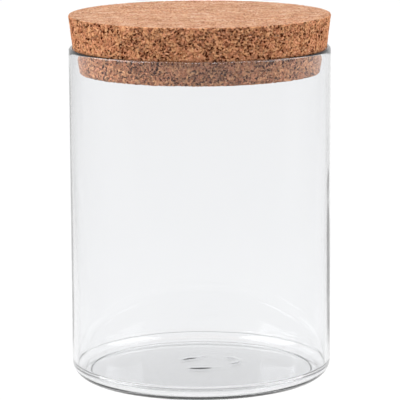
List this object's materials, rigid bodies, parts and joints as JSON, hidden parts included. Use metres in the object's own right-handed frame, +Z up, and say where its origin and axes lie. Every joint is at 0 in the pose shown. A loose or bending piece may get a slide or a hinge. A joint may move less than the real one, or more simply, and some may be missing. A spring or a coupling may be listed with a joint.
{
  "type": "lidded glass canister",
  "caption": "Straight-sided cylindrical jar of clear glass with rounded bottom corners, closed by a thick tapered cork stopper that lifts out.",
  "frame": {"origin": "on the table, under the middle of the jar's standing ring", "axes": "+Z up along the jar's axis, out through the mouth; the object is round, so +X and +Y are any two level directions"},
  "size_m": [0.1, 0.1, 0.14],
  "materials": {
    "clear_glass": "polished",
    "pressed_cork": "matte"
  },
  "bodies": {
    "jar": {"glass_jar": "clear_glass"},
    "stopper": {"cork_stopper": "pressed_cork"}
  },
  "joints": [
    {"name": "stopper_lift", "type": "slide", "parent": "jar", "child": "stopper", "axis": [0, 0, 1], "range_m": [0, 0.12]}
  ]
}
